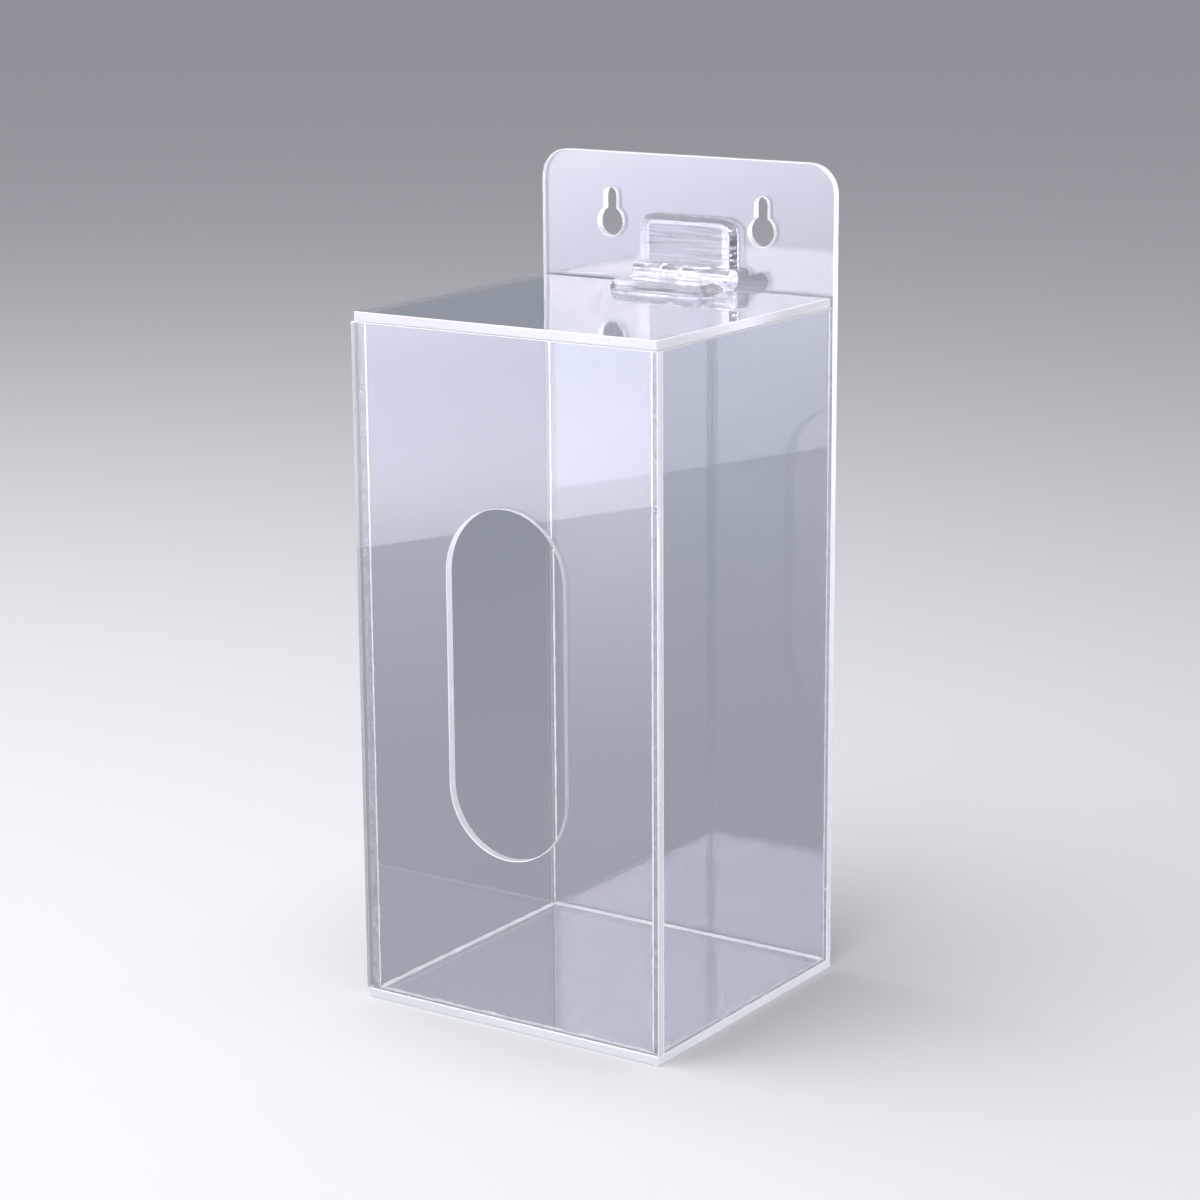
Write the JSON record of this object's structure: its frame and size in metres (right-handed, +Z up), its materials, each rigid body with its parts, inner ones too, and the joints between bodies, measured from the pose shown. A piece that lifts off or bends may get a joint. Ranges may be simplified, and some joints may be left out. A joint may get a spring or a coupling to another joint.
{
  "type": "disposable glove dispenser",
  "caption": "Wall-mounted clear acrylic glove dispenser: upright box with an obround front opening, a lid on a clear butt hinge and a tall back sheet with keyholes.",
  "frame": {"origin": "centre of the footprint, on the surface that the box stands on", "axes": "+X to the right seen from the front, +Y from the front opening towards the wall, +Z up"},
  "size_m": [0.1164, 0.1084, 0.274],
  "materials": {
    "acrylic_sheet": "clear cast acrylic sheet, flame polished edges",
    "moulded_hinge": "clear moulded acrylic",
    "pin_rod": "clear extruded acrylic rod"
  },
  "bodies": {
    "box": {"bottom_panel": "acrylic_sheet", "front_panel": "acrylic_sheet", "left_panel": "acrylic_sheet", "right_panel": "acrylic_sheet", "back_panel": "acrylic_sheet", "hinge_back_leaf": "moulded_hinge", "hinge_pin": "pin_rod"},
    "lid": {"lid_panel": "acrylic_sheet", "hinge_lid_leaf": "moulded_hinge"}
  },
  "joints": [
    {"name": "lid_hinge", "type": "hinge", "parent": "box", "child": "lid", "pos_m": [0.00285, 0.04775, 0.2345], "axis": [-1, 0, 0], "range_deg": [0, 90]}
  ]
}
